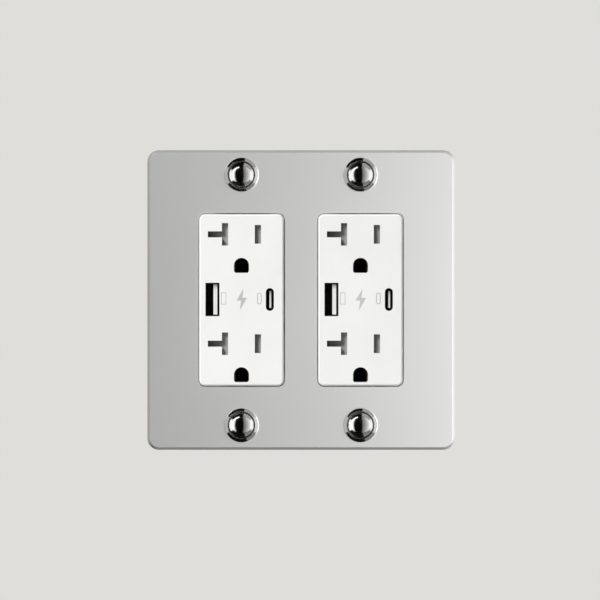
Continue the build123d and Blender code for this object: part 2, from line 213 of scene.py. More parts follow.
def cut(piece, buildCutter):
    # takes a cutter's volume out of a piece and keeps the result as its mesh
    bm = bmesh.new()
    buildCutter(bm)
    bmesh.ops.scale(bm, vec=(mm, mm, mm), verts=bm.verts)
    bmesh.ops.recalc_face_normals(bm, faces=bm.faces)
    mesh = bpy.data.meshes.new("cutter")
    bm.to_mesh(mesh)
    bm.free()
    cutter = bpy.data.objects.new("cutter", mesh)
    bpy.context.collection.objects.link(cutter)
    modifier = piece.modifiers.new("recess", "BOOLEAN")
    modifier.operation = "DIFFERENCE"
    modifier.solver = "EXACT"
    modifier.use_self = True  # the bars of a cutter cross each other
    modifier.object = cutter
    bpy.context.view_layer.update()
    depsgraph = bpy.context.evaluated_depsgraph_get()
    result = bpy.data.meshes.new_from_object(piece.evaluated_get(depsgraph))
    piece.modifiers.clear()
    piece.data = result
    bpy.data.objects.remove(cutter)
    sharpByAngle(piece)


def soften(node, width, segments=2, limit=30):
    # rounds the sharp edges of a shape from the frame, without touching its mesh
    weld = node.modifiers.new("join seams", "WELD")
    weld.merge_threshold = 1e-6
    bevel = node.modifiers.new("soft edges", "BEVEL")
    bevel.width = width * mm
    bevel.segments = segments
    bevel.limit_method = "ANGLE"
    bevel.angle_limit = math.radians(limit)
    bevel.harden_normals = False
    bevel.use_clamp_overlap = True
    bevel.miter_outer = "MITER_ARC"


# material helpers


def newMaterial(name, color, roughness, metallic=0.0):
    material = bpy.data.materials.new(name)
    material.use_nodes = True
    tree = material.node_tree
    shader = tree.nodes["Principled BSDF"]
    shader.inputs["Base Color"].default_value = (*color, 1)
    shader.inputs["Roughness"].default_value = roughness
    shader.inputs["Metallic"].default_value = metallic
    return material, tree, shader


def coordinates(tree, stretch=(1, 1, 1)):
    # object coordinates in metres, which are the shared frame's own
    source = tree.nodes.new("ShaderNodeTexCoord")
    mapping = tree.nodes.new("ShaderNodeMapping")
    mapping.inputs["Scale"].default_value = stretch
    tree.links.new(source.outputs["Object"], mapping.inputs["Vector"])
    return mapping.outputs["Vector"]


def noise(tree, scale, detail=4, roughness=0.5, stretch=(1, 1, 1)):
    node = tree.nodes.new("ShaderNodeTexNoise")
    node.inputs["Scale"].default_value = scale
    node.inputs["Detail"].default_value = detail
    node.inputs["Roughness"].default_value = roughness
    tree.links.new(coordinates(tree, stretch), node.inputs["Vector"])
    return node.outputs["Fac"]


def ramp(tree, factor, stops):
    # two stops, each a place from 0 to 1 and its colour
    node = tree.nodes.new("ShaderNodeValToRGB")
    for element, (place, color) in zip(node.color_ramp.elements, stops):
        element.position = place
        element.color = (*color, 1)
    tree.links.new(factor, node.inputs["Fac"])
    return node.outputs["Color"]


def spread(tree, factor, low, high):
    # turns a 0.3 to 0.7 noise into the range low to high
    node = tree.nodes.new("ShaderNodeMapRange")
    node.inputs["From Min"].default_value = 0.3
    node.inputs["From Max"].default_value = 0.7
    node.inputs["To Min"].default_value = low
    node.inputs["To Max"].default_value = high
    tree.links.new(factor, node.inputs["Value"])
    return node.outputs["Result"]


def bump(tree, shader, height, strength, distance):
    node = tree.nodes.new("ShaderNodeBump")
    node.inputs["Strength"].default_value = strength
    node.inputs["Distance"].default_value = distance * mm
    tree.links.new(height, node.inputs["Height"])
    tree.links.new(node.outputs["Normal"], shader.inputs["Normal"])


def metal(name, dark, light, rough, fine=1800, grain=0.012, patch=40):
    # plated or plain metal: slow patches in its colour, fine grain in its gloss
    material, tree, shader = newMaterial(name, light, rough[0], 1.0)
    color = ramp(tree, noise(tree, patch, 5, 0.55), [(0.3, dark), (0.7, light)])
    tree.links.new(color, shader.inputs["Base Color"])
    tree.links.new(spread(tree, noise(tree, fine / 6, 6, 0.6), *rough), shader.inputs["Roughness"])
    bump(tree, shader, noise(tree, fine, 3, 0.6), 0.25, grain)
    return material


def plastic(name, dark, light, rough, fine=1400, grain=0.02, patch=60):
    # moulded plastic: faint clouding and the fine texture of the mould
    material, tree, shader = newMaterial(name, light, rough[0], 0.0)
    color = ramp(tree, noise(tree, patch, 4, 0.5), [(0.3, dark), (0.7, light)])
    tree.links.new(color, shader.inputs["Base Color"])
    tree.links.new(spread(tree, noise(tree, fine / 5, 4, 0.6), *rough), shader.inputs["Roughness"])
    bump(tree, shader, noise(tree, fine, 2, 0.5), 0.3, grain)
    return material


print("stage: helpers ready")

# finishes

steelLook = {"dark": (0.67, 0.67, 0.668), "light": (0.69, 0.69, 0.688), "rough": (0.53, 0.57)}


def satinSteel():
    # fine satin polish: a soft even lay with hardly any direction
    material, tree, shader = newMaterial("satinSteel", steelLook["light"], 0.4, 1.0)
    cloud = noise(tree, 14, 3, 0.5)
    stops = [(0.3, steelLook["dark"]), (0.7, steelLook["light"])]
    tree.links.new(ramp(tree, cloud, stops), shader.inputs["Base Color"])
    lay = noise(tree, 2600, 5, 0.6, (0.6, 1, 1))
    tree.links.new(spread(tree, lay, *steelLook["rough"]), shader.inputs["Roughness"])
    bump(tree, shader, lay, 0.1, 0.003)
    return material


def polishedChrome():
    material, tree, shader = newMaterial("polishedChrome", (0.86, 0.86, 0.87), 0.07, 1.0)
    haze = noise(tree, 300, 5, 0.6)
    tree.links.new(spread(tree, haze, 0.11, 0.15), shader.inputs["Roughness"])
    film = ramp(tree, noise(tree, 120, 3, 0.5), [(0.3, (0.82, 0.82, 0.83)), (0.7, (0.88, 0.88, 0.885))])
    tree.links.new(film, shader.inputs["Base Color"])
    bump(tree, shader, noise(tree, 2500, 2, 0.5), 0.05, 0.002)
    return material


coverLook = {"dark": (0.86, 0.86, 0.852), "light": (0.9, 0.9, 0.893), "rough": (0.3, 0.38)}


def coverPlastic():
    # semi-gloss white with a fine moulded skin
    material = plastic(
        "coverPlastic", coverLook["dark"], coverLook["light"], coverLook["rough"], 1600, 0.006
    )
    shader = material.node_tree.nodes["Principled BSDF"]
    shader.inputs["Subsurface Weight"].default_value = 0.05
    shader.inputs["Subsurface Radius"].default_value = (0.0008, 0.0008, 0.0008)
    return material


tongueLook = {
    "dark": (0.7, 0.7, 0.69),
    "light": (0.76, 0.76, 0.75),
    # painted shade: the colour the tongue takes deep in the port, where little light reaches
    "deepShade": (0.02, 0.02, 0.02),
    "shadeDepths": (-3.5, 1.0),  # mm between which the pale part turns into painted shade
}


def tongueInsert():
    # pale tongue, darkened towards the bottom of the port by painted shade, where the deep port keeps
    # the light off it
    material = plastic("tonguePlastic", tongueLook["dark"], tongueLook["light"], (0.35, 0.45))
    tree = material.node_tree
    shader = tree.nodes["Principled BSDF"]
    pale = shader.inputs["Base Color"].links[0].from_socket
    place = tree.nodes.new("ShaderNodeSeparateXYZ")
    tree.links.new(coordinates(tree), place.inputs["Vector"])
    depth = tree.nodes.new("ShaderNodeMapRange")
    depth.inputs["From Min"].default_value = tongueLook["shadeDepths"][0] * mm
    depth.inputs["From Max"].default_value = tongueLook["shadeDepths"][1] * mm
    tree.links.new(place.outputs["Y"], depth.inputs["Value"])
    mix = tree.nodes.new("ShaderNodeMix")
    mix.data_type = "RGBA"
    tree.links.new(depth.outputs["Result"], mix.inputs["Factor"])
    tree.links.new(pale, mix.inputs["A"])
    mix.inputs["B"].default_value = (*tongueLook["deepShade"], 1)
    tree.links.new(mix.outputs["Result"], shader.inputs["Base Color"])
    return material


def circuitBoard():
    # green solder mask over copper runs, which stand a little proud
    material, tree, shader = newMaterial("circuitBoard", (0.02, 0.2, 0.08), 0.35)
    runs = tree.nodes.new("ShaderNodeTexBrick")
    runs.inputs["Scale"].default_value = 260
    runs.inputs["Mortar Size"].default_value = 0.035
    runs.inputs["Color1"].default_value = (0.015, 0.16, 0.06, 1)
    runs.inputs["Color2"].default_value = (0.02, 0.2, 0.08, 1)
    runs.inputs["Mortar"].default_value = (0.05, 0.32, 0.12, 1)
    swap = tree.nodes.new("ShaderNodeMapping")
    swap.inputs["Rotation"].default_value = (math.radians(90), 0, 0)
    tree.links.new(coordinates(tree), swap.inputs["Vector"])
    tree.links.new(swap.outputs["Vector"], runs.inputs["Vector"])
    tree.links.new(runs.outputs["Color"], shader.inputs["Base Color"])
    bump(tree, shader, runs.outputs["Fac"], 0.5, 0.03)
    return material


def fibre():
    # pressed fibre washer
    material, tree, shader = newMaterial("retainerFibre", (0.5, 0.36, 0.22), 0.85)
    strands = noise(tree, 700, 8, 0.75, (1, 1, 0.3))
    color = ramp(tree, strands, [(0.3, (0.36, 0.24, 0.13)), (0.7, (0.62, 0.47, 0.31))])
    tree.links.new(color, shader.inputs["Base Color"])
    bump(tree, shader, strands, 0.6, 0.06)
    return material


def tape():
    # polyester tape wound round a coil, with the edge of each turn showing
    material, tree, shader = newMaterial("windingTape", (0.75, 0.55, 0.05), 0.25)
    bands = tree.nodes.new("ShaderNodeTexWave")
    bands.bands_direction = "Y"
    bands.inputs["Scale"].default_value = 260
    bands.inputs["Distortion"].default_value = 0.4
    tree.links.new(coordinates(tree), bands.inputs["Vector"])
    color = ramp(tree, bands.outputs["Fac"], [(0.1, (0.6, 0.4, 0.03)), (0.6, (0.8, 0.6, 0.08))])
    tree.links.new(color, shader.inputs["Base Color"])
    bump(tree, shader, bands.outputs["Fac"], 0.4, 0.04)
    return material


def sleeve():
    # dark heat-shrink sleeve, slightly clouded
    return plastic(
        "capacitorSleeve", (0.012, 0.018, 0.04), (0.03, 0.04, 0.08), (0.25, 0.35), 900, 0.02, 500
    )


look = {
    "satin_steel": satinSteel(),
    "dome_chrome": polishedChrome(),
    "lip_chrome": metal("lipChrome", (0.78, 0.78, 0.79), (0.84, 0.84, 0.85), (0.14, 0.19)),
    "cover_plastic": coverPlastic(),
    "shutter_plastic": plastic("shutterPlastic", (0.25, 0.25, 0.245), (0.3, 0.3, 0.294), (0.5, 0.6)),
    "spring_steel": metal("springSteel", (0.5, 0.5, 0.5), (0.66, 0.66, 0.66), (0.2, 0.32)),
    "strap_steel": metal("strapZinc", (0.5, 0.52, 0.53), (0.68, 0.7, 0.7), (0.28, 0.48), 1200, 0.02, 90),
    "contact_brass": metal(
        "contactBrass", (0.6, 0.4, 0.15), (0.8, 0.58, 0.26), (0.22, 0.4), 1500, 0.01, 120
    ),
    "contact_plated": metal(
        "contactNickel", (0.52, 0.5, 0.46), (0.68, 0.66, 0.62), (0.22, 0.38), 1500, 0.01, 120
    ),
    # port shells coloured near black: painted shade for the dark insides of the ports
    "port_metal": metal("portMetalPaintedShade", (0.03, 0.03, 0.032), (0.05, 0.05, 0.052), (0.3, 0.45)),
    "tongue_plastic": tongueInsert(),
    "circuit_board": circuitBoard(),
    "black_plastic": plastic("blackPlastic", (0.015, 0.015, 0.016), (0.03, 0.03, 0.032), (0.4, 0.55)),
    "transformer_tape": tape(),
    "ferrite": plastic("ferrite", (0.03, 0.03, 0.032), (0.06, 0.06, 0.065), (0.55, 0.75), 900, 0.05),
    "capacitor_sleeve": sleeve(),
    "can_aluminium": metal("canAluminium", (0.68, 0.68, 0.69), (0.8, 0.8, 0.81), (0.25, 0.4)),
    "divider_plastic": plastic(
        "dividerPlastic", (0.02, 0.02, 0.022), (0.045, 0.045, 0.047), (0.5, 0.65)
    ),
    "body_plastic": plastic(
        "bodyPlastic", (0.66, 0.66, 0.64), (0.74, 0.74, 0.72), (0.42, 0.58), 900, 0.05
    ),
    "screw_brass": metal("screwBrass", (0.62, 0.42, 0.16), (0.82, 0.6, 0.28), (0.18, 0.32)),
    "screw_plated": metal("screwNickel", (0.6, 0.6, 0.59), (0.74, 0.74, 0.72), (0.18, 0.32)),
    "screw_green": metal("screwGreen", (0.02, 0.22, 0.09), (0.04, 0.34, 0.14), (0.25, 0.4)),
    "screw_zinc": metal("screwZinc", (0.55, 0.56, 0.56), (0.7, 0.71, 0.7), (0.22, 0.38)),
    "clamp_steel": metal("clampZinc", (0.52, 0.5, 0.42), (0.7, 0.67, 0.56), (0.28, 0.42)),
    "retainer_fibre": fibre(),
    "mark_ink": plastic("markInk", (0.5, 0.5, 0.5), (0.56, 0.56, 0.56), (0.55, 0.65)),
    "pin_tin": metal("pinTin", (0.66, 0.66, 0.66), (0.8, 0.8, 0.8), (0.2, 0.35)),
}
look["collar_chrome"] = look["dome_chrome"]
print("stage: finishes ready")

# the shapes of the frame keep their meshes and take the finishes

softEdge = {"wall_plate": 0.25, "face_cover": 0.16, "rear_body": 0.35, "mounting_strap": 0.15}


def dressFrame():
    slotOf = {part["node"]: part["material_slot"] for part in frame["record"]["subparts"]}
    for name, node in frame["nodes"].items():
        finish = look[slotOf[name]]
        for index in range(len(node.material_slots)):
            node.material_slots[index].material = finish
        kind = name.split("_", 1)[1] if name.split("_", 1)[0] in gangSides else name
        if kind in softEdge:
            soften(node, softEdge[kind], 3 if kind == "wall_plate" else 2)


dressFrame()
print("stage: frame dressed")

# domed screws and their collars

domeScrew = {
    "spotZ": 48.41,
    "radius": 5.15,
    "height": 2.55,
    "seat": -7.75,
    "plateFront": -6.0,
    "shankRadius": 1.75,
    "shankEnd": 7.0,
    "rings": 28,
}
collar = {
    "outer": 6.7,
    "inner": 5.2,
    "wall": 0.75,
    "shoulder": 1.0,
    "shoulderTurn": (10, 60),  # degrees at which the shoulder's round begins and ends
    "lipOuter": 5.5,
    "height": 2.25,
}


def plateScrewSpots():
    return [(gangX(gang), side * domeScrew["spotZ"]) for gang in gangSides for side in (-1, 1)]


def buildDomes(bm):
    radius, height, seat = domeScrew["radius"], domeScrew["height"], domeScrew["seat"]
    sphere = (radius ** 2 + height ** 2) / (2 * height)
    reach = math.asin(radius / sphere)
    for x, z in plateScrewSpots():
        profile = []
        for step in range(domeScrew["rings"] + 1):
            angle = reach * step / domeScrew["rings"]
            profile.append((sphere * math.sin(angle), -seat + height - sphere * (1 - math.cos(angle))))
        profile += [(radius, -domeScrew["plateFront"] + 0.1), (radius - 0.1, -domeScrew["plateFront"])]
        profile.append((0, -domeScrew["plateFront"]))
        lathe(bm, profile, (x, 0, z), (0, -1, 0), 96)
        length = domeScrew["shankEnd"] - domeScrew["plateFront"]
        start = (x, domeScrew["plateFront"], z)
        thread(bm, start, (0, 1, 0), domeScrew["shankRadius"], length)


def buildCollars(bm):
    # low wall, rounded shoulder and a flat cone up to a thin rounded lip
    base = -domeScrew["plateFront"]
    top = base + collar["height"]
    lip = (collar["lipOuter"] - collar["inner"]) / 2
    bend = collar["shoulder"]
    first, last = (math.radians(degrees) for degrees in collar["shoulderTurn"])
    taper = [(collar["outer"], base), (collar["outer"], base + collar["wall"])]
    for step in range(1, 11):
        angle = first + (last - first) * step / 10
        out = collar["outer"] - bend * (math.cos(first) - math.cos(angle))
        up = base + collar["wall"] + bend * (math.sin(angle) - math.sin(first))
        taper.append((out, up))
    edge = []
    for step in range(9):
        angle = math.radians(180 * step / 8)
        edge.append((collar["inner"] + lip * (1 + math.cos(angle)), top - lip + lip * math.sin(angle)))
    inside = edge[-1:] + [(collar["inner"], base), (collar["outer"], base)]
    for x, z in plateScrewSpots():
        for profile, materialIndex in ((taper + edge[:1], 0), (edge, 1), (inside, 0)):
            lathe(bm, profile, (x, 0, z), (0, -1, 0), 96, materialIndex)
    bmesh.ops.remove_doubles(bm, verts=bm.verts, dist=1e-5)


domes = meshPiece("domed_screws", buildDomes, look["dome_chrome"],
                  stands=["plate_screws"])
collars = meshPiece("domed_screw_collars", buildCollars, [look["dome_chrome"], look["lip_chrome"]],
                    stands=["screw_collars"])
print("stage: domed screws")

# coil springs of the shutters

spring = {
    "start": 5.35,
    "end": 15.05,
    "turns": 8.5,
    "radius": 0.82,
    "wire": 0.14,
    "travel": 7.6,  # how far the shutter presses it
    "depth": -3.2,
    "points": 150,
}


def buildSpring(centreX, centreZ):
    def build(bm):
        points = []
        inset = spring["wire"] + 0.01
        for k in range(spring["points"] + 1):
            t = k / spring["points"]
            angle = 2 * math.pi * spring["turns"] * t
            x = centreX + spring["start"] + inset + (spring["end"] - spring["start"] - 2 * inset) * t
            points.append((x, spring["depth"] + spring["radius"] * math.cos(angle),
                           centreZ + spring["radius"] * math.sin(angle)))
        tube(bm, points, spring["wire"])
    return build


for gang in gangSides:
    for outlet in ("upper", "lower"):
        node = f"{gang}_{outlet}_shutter_spring"
        low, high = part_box(node)
        centreZ = (low.z + high.z) / 2 / mm
        name = f"{gang}_{outlet}_coil_spring"
        wound = meshPiece(
            name, buildSpring(gangX(gang), centreZ), look["spring_steel"],
            stands=[node],
        )
        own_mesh(wound)
print("stage: springs")

# screws with heads, recesses and threads

screwKinds = {
    # seats are the points under the heads, from the receptacle's middle; out is where the heads face
    "mounting_screws": {
        "radius": 3.4,
        "height": 2.0,
        "shank": 1.75,
        "length": 23.6,
        "slot": "screw_zinc",
        "seats": ((0, -1.6, 41.67), (0, -1.6, -41.67)),
        "out": (0, -1, 0),
    },
    "line_screws": {
        "radius": 3.9,
        "height": 2.4,
        "shank": 2.08,
        "length": 5.6,
        "slot": "screw_brass",
        "seats": ((16.9, 12.5, 5.0), (16.9, 12.5, -5.0)),
        "out": (1, 0, 0),
    },
    "neutral_screws": {
        "radius": 3.9,
        "height": 2.4,
        "shank": 2.08,
        "length": 5.6,
        "slot": "screw_plated",
        "seats": ((-16.9, 12.5, 5.0), (-16.9, 12.5, -5.0)),
        "out": (-1, 0, 0),
    },
}
screwHead = {
    "edge": 0.15,  # chamfer under the rim
    "rimShare": 0.45,  # share of the height that is straight rim
    "round": 0.9,  # how far the rounded top comes in
    "slotHalf": 0.45,
    "slotDepth": 0.9,
    "crossHalf": (0.5, 1.7),
    "crossDepth": 1.3,
}


def panHead(bm, kind, seat, direction):
    radius, height = kind["radius"], kind["height"]
    edge, rim = screwHead["edge"], height * screwHead["rimShare"]
    profile = [(0, 0), (radius - edge, 0), (radius, edge), (radius, rim)]
    for step in range(1, 9):
        angle = math.radians(90 * step / 8)
        inset = screwHead["round"] * (1 - math.cos(angle))
        profile.append((radius - inset, rim + (height - rim) * math.sin(angle)))
    profile.append((0, height))
    lathe(bm, profile, seat, direction, 48)


def recessCutter(bm, kind, seat, direction):
    # slot across the head with a cross in its middle
    place = placement(seat, direction)
    above = kind["height"] + 1
    across = kind["radius"] + 1
    slotHalf, slotFloor = screwHead["slotHalf"], kind["height"] - screwHead["slotDepth"]
    crossFloor = kind["height"] - screwHead["crossDepth"]
    thin, wide = screwHead["crossHalf"]
    bars = (
        ((-across, -slotHalf, slotFloor), (across, slotHalf, above)),
        ((-thin, -wide, crossFloor), (thin, wide, above)),
    )
    for low, high in bars:
        made = bmesh.ops.create_cube(bm, size=1.0)["verts"]
        bmesh.ops.scale(bm, vec=[b - a for a, b in zip(low, high)], verts=made)
        bmesh.ops.translate(bm, vec=[(a + b) / 2 for a, b in zip(low, high)], verts=made)
        bmesh.ops.transform(bm, matrix=place, verts=made)


def screwGroup(node, kind, x):
    # the screws of one kind in the receptacle whose middle is at x
    seats = [(x + dx, y, z) for dx, y, z in kind["seats"]]
    direction = kind["out"]
    back = tuple(-value for value in direction)

    def heads(bm):
        for seat in seats:
            panHead(bm, kind, seat, direction)

    def cutters(bm):
        for seat in seats:
            recessCutter(bm, kind, seat, direction)

    def shanks(bm):
        for seat in seats:
            thread(bm, seat, back, kind["shank"], kind["length"])

    finish = look[kind["slot"]]
    piece = meshPiece(f"{node}_heads", heads, finish, stands=[node])
    cut(piece, cutters)
    meshPiece(f"{node}_threads", shanks, finish)


for gang in gangSides:
    for kind in screwKinds:
        screwGroup(f"{gang}_{kind}", screwKinds[kind], gangX(gang))

groundScrew = {
    "y": 5.4,
    "z": -40.5,
    "face": -11.0,
    "corners": 3.6,  # from the middle to a corner of the hexagon
    "height": 2.6,
    "chamfer": (0.35, 0.4),
    "washer": (3.7, 0.75),  # radius and height of the collar under the hexagon
    "shank": 2.08,
    "length": 5.4,
}


def buildGroundScrew(x):
    def build(bm):
        origin = (x + groundScrew["face"], groundScrew["y"], groundScrew["z"])
        place = placement(origin, (-1, 0, 0))
        corners, top = groundScrew["corners"], groundScrew["height"]
        inward, downward = groundScrew["chamfer"]
        washer, under = groundScrew["washer"]
        rings = []
        for radius, height in ((corners, under), (corners, top - downward), (corners - inward, top)):
            rings.append([
                bm.verts.new(place @ Vector((radius * math.cos(a), radius * math.sin(a), height)))
                for a in [math.radians(60 * k + 30) for k in range(6)]
            ])
        for low, high in zip(rings, rings[1:]):
            for k in range(6):
                bm.faces.new((low[k], low[(k + 1) % 6], high[(k + 1) % 6], high[k]))
        bm.faces.new(rings[0])
        bm.faces.new(rings[-1])
        profile = [(0, 0), (washer, 0), (washer, under - 0.2), (washer - 0.2, under), (0, under)]
        lathe(bm, profile, origin, (-1, 0, 0), 40)
        thread(bm, origin, (1, 0, 0), groundScrew["shank"], groundScrew["length"])
    return build


for gang in gangSides:
    meshPiece(
        f"{gang}_green_screw", buildGroundScrew(gangX(gang)), look["screw_green"],
        stands=[f"{gang}_ground_screw"],
    )
print("stage: screws")

# side wings of the mounting straps, which close the gaps beside the face covers from behind

strapWing = {
    "inner": 16.2,
    "outer": 17.9,
    "front": -1.6,
    "back": -0.05,
    "half": 33.6,
    "corner": 1.0,
    "edge": 0.15,
}


def buildWings(x):
    def build(bm):
        inner, outer, half, corner = (strapWing[key] for key in ("inner", "outer", "half", "corner"))
        for side in (-1, 1):
            outline = ((inner, -half), (outer - corner, -half), (outer, -half + corner),
                       (outer, half - corner), (outer - corner, half), (inner, half))
            rings = [[bm.verts.new((x + side * a, y, b)) for a, b in outline]
                     for y in (strapWing["front"], strapWing["back"])]
            faces = [bm.faces.new(rings[0]), bm.faces.new(rings[1])]
            for k in range(len(outline)):
                after = (k + 1) % len(outline)
                faces.append(bm.faces.new((rings[0][k], rings[0][after], rings[1][after], rings[1][k])))
            edges = list({edge for face in faces for edge in face.edges})
            bmesh.ops.bevel(
                bm, geom=edges, offset=strapWing["edge"], segments=2, affect="EDGES", profile=0.5
            )
    return build


for gang in gangSides:
    meshPiece(f"{gang}_strap_wings", buildWings(gangX(gang)), look["strap_steel"])
print("stage: strap wings")

# power parts inside

capacitor = {
    "radius": 4.1,
    "height": 11.6,
    "spots": ((-6.5, -17.5), (4.5, -18.5)),
    "board": 18.6,
    "groove": (1.3, 0.35),  # height of the crimped groove and its depth
    "roll": 0.7,  # width of the rim that the sleeve rolls over the can
    "canInset": 0.15,
}


def buildCapacitors(x):
    def build(bm):
        r, h = capacitor["radius"], capacitor["height"]
        groove, groovedDepth = capacitor["groove"]
        rim = r - capacitor["roll"]
        body = [(0, 0), (r - 0.3, 0), (r, 0.3)]
        body += [(r, groove), (r - groovedDepth, groove + 0.4), (r, groove + 0.8)]
        body += [(r, h - 0.5), (r - 0.25, h - 0.1), (rim, h)]
        can = [(rim, h), (rim - 0.1, h - capacitor["canInset"]), (0, h - capacitor["canInset"])]
        for dx, z in capacitor["spots"]:
            origin = (x + dx, capacitor["board"], z)
            lathe(bm, body, origin, (0, 1, 0), 48, 0)
            lathe(bm, can, origin, (0, 1, 0), 48, 1)
    return build


transformer = {
    "board": 18.6,
    "z": 1.5,
    "flange": (8.5, 8.0, 1.0),  # half width, half height and thickness
    "coilRadius": 6.6,
    "coilTop": 9.4,
    "coreHalf": (9.6, 4.0),
    "coreTop": (10.5, 12.2),
    "legInner": 7.3,
    "pinPitch": 4.0,
    "pinHalf": 0.3,
    "pinZ": 7.2,
}


def buildTransformer(x):
    # slots of its materials: 0 tape, 1 bobbin, 2 core, 3 pins
    def build(bm):
        y, z = transformer["board"], transformer["z"]
        wide, tall, thick = transformer["flange"]
        for low in (y, y + transformer["coilTop"]):
            box(bm, (x - wide, low, z - tall), (x + wide, low + thick, z + tall), 0.3, 2, 1)
        r, top = transformer["coilRadius"], transformer["coilTop"]
        winding = [(0, thick), (r - 0.1, thick), (r, thick + 1), (r, top - 1), (r - 0.1, top), (0, top)]
        lathe(bm, winding, (x, y, z), (0, 1, 0), 48, 0)
        across, half = transformer["coreHalf"]
        low, high = transformer["coreTop"]
        box(bm, (x - across, y + low, z - half), (x + across, y + high, z + half), 0.25, 2, 2)
        for side in (-1, 1):
            leg = sorted((side * transformer["legInner"], side * across))
            box(bm, (x + leg[0], y + thick, z - half), (x + leg[1], y + low + 0.5, z + half), 0.25, 2, 2)
            for k in range(4):
                pinX = x + (k - 1.5) * transformer["pinPitch"]
                pinZ = z + side * transformer["pinZ"]
                pin = transformer["pinHalf"]
                box(bm, (pinX - pin, y, pinZ - pin), (pinX + pin, y + 0.9, pinZ + pin), 0.08, 1, 3)
    return build


for gang in gangSides:
    x = gangX(gang)
    meshPiece(f"{gang}_power_capacitors", buildCapacitors(x),
              [look["capacitor_sleeve"], look["can_aluminium"]],
              stands=[f"{gang}_capacitors"])
    meshPiece(f"{gang}_wound_transformer", buildTransformer(x),
              [look["transformer_tape"], look["black_plastic"], look["ferrite"], look["pin_tin"]],
              stands=[f"{gang}_transformer"])
print("stage: power parts")

# generic marks printed on the covers: a flash between the ports and small outlines of the ports

mark = {
    "face": -7.0,
    "proud": 0.03,
    "line": 0.34,
    "flash": ((0.55, 3.6), (-1.75, -0.35), (-0.25, -0.35), (-0.6, -3.6), (1.75, 0.55), (0.2, 0.55)),
    "flashPlace": (0.1, 0.2),
    "flashScale": 1.15,
    "portX": 6.9,
    "portZ": 0.6,
    "wideHalf": (0.9, 2.2),
    "ovalHalf": (0.75, 1.35),  # radius of the ends and half the distance between them
}


def flatShape(bm, points, x, z, scale=1.0):
    # thin printed polygon on the face of the cover
    front, back = mark["face"] - mark["proud"], mark["face"] + 0.01
    near = [bm.verts.new((x + scale * a, front, z + scale * b)) for a, b in points]
    far = [bm.verts.new((x + scale * a, back, z + scale * b)) for a, b in points]
    bm.faces.new(near)
    bm.faces.new(list(reversed(far)))
    count = len(points)
    for k in range(count):
        bm.faces.new((near[k], far[k], far[(k + 1) % count], near[(k + 1) % count]))


def flatLoop(bm, points, x, z):
    # outline of a shape as a printed line of even width
    count = len(points)
    outer, inner = [], []
    for k in range(count):
        here = Vector(points[k])
        back = (here - Vector(points[k - 1])).normalized()
        on = (Vector(points[(k + 1) % count]) - here).normalized()
        normal = Vector((back.y + on.y, -back.x - on.x)).normalized()
        outer.append(here + normal * mark["line"] / 2)
        inner.append(here - normal * mark["line"] / 2)
    for k in range(count):
        after = (k + 1) % count
        quad = (outer[k], outer[after], inner[after], inner[k])
        flatShape(bm, [tuple(p) for p in quad], x, z)


def buildMarks(x):
    def build(bm):
        across, up = mark["flashPlace"]
        flatShape(bm, mark["flash"], x + across, up, mark["flashScale"])
        a, b = mark["wideHalf"]
        flatLoop(bm, ((-a, -b), (a, -b), (a, b), (-a, b)), x - mark["portX"], mark["portZ"])
        radius, reach = mark["ovalHalf"]
        oval = []
        for end in (1, -1):
            for k in range(9):
                angle = math.radians(180 * k / 8)
                oval.append((end * radius * math.cos(angle), end * (reach + radius * math.sin(angle))))
        flatLoop(bm, oval, x + mark["portX"], mark["portZ"])
    return build


for gang in gangSides:
    meshPiece(f"{gang}_printed_marks", buildMarks(gangX(gang)), look["mark_ink"],
              smooth=False)
print("stage: marks")

# floor, lamps, dark cards and camera

studio = {
    "backdrop": (0.737, 0.730, 0.701),
    "fill": 0.13,  # light from all round
    "floorZ": -0.17,
    "floorRadius": 1.6,
    "floorFade": (0.25, 0.6),  # radii between which the floor thins out
}


def makeFloor():
    bm = bmesh.new()
    bmesh.ops.create_circle(bm, cap_ends=True, segments=96, radius=studio["floorRadius"])
    mesh = bpy.data.meshes.new("floor")
    bm.to_mesh(mesh)
    bm.free()
    floor = bpy.data.objects.new("floor", mesh)
    floor.location = (0, 0, studio["floorZ"])
    bpy.context.collection.objects.link(floor)
    material, tree, shader = newMaterial("paleFloor", studio["backdrop"], 0.9)
    # the rim fades out, so that the floor has no edge
    source = tree.nodes.new("ShaderNodeTexCoord")
    reach = tree.nodes.new("ShaderNodeVectorMath")
    reach.operation = "LENGTH"
    tree.links.new(source.outputs["Object"], reach.inputs[0])
    fade = tree.nodes.new("ShaderNodeMapRange")
    fade.inputs["From Min"].default_value = studio["floorFade"][0]
    fade.inputs["From Max"].default_value = studio["floorFade"][1]
    fade.inputs["To Min"].default_value = 1.0
    fade.inputs["To Max"].default_value = 0.0
    tree.links.new(reach.outputs["Value"], fade.inputs["Value"])
    tree.links.new(fade.outputs["Result"], shader.inputs["Alpha"])
    mesh.materials.append(material)
    floor.visible_glossy = False


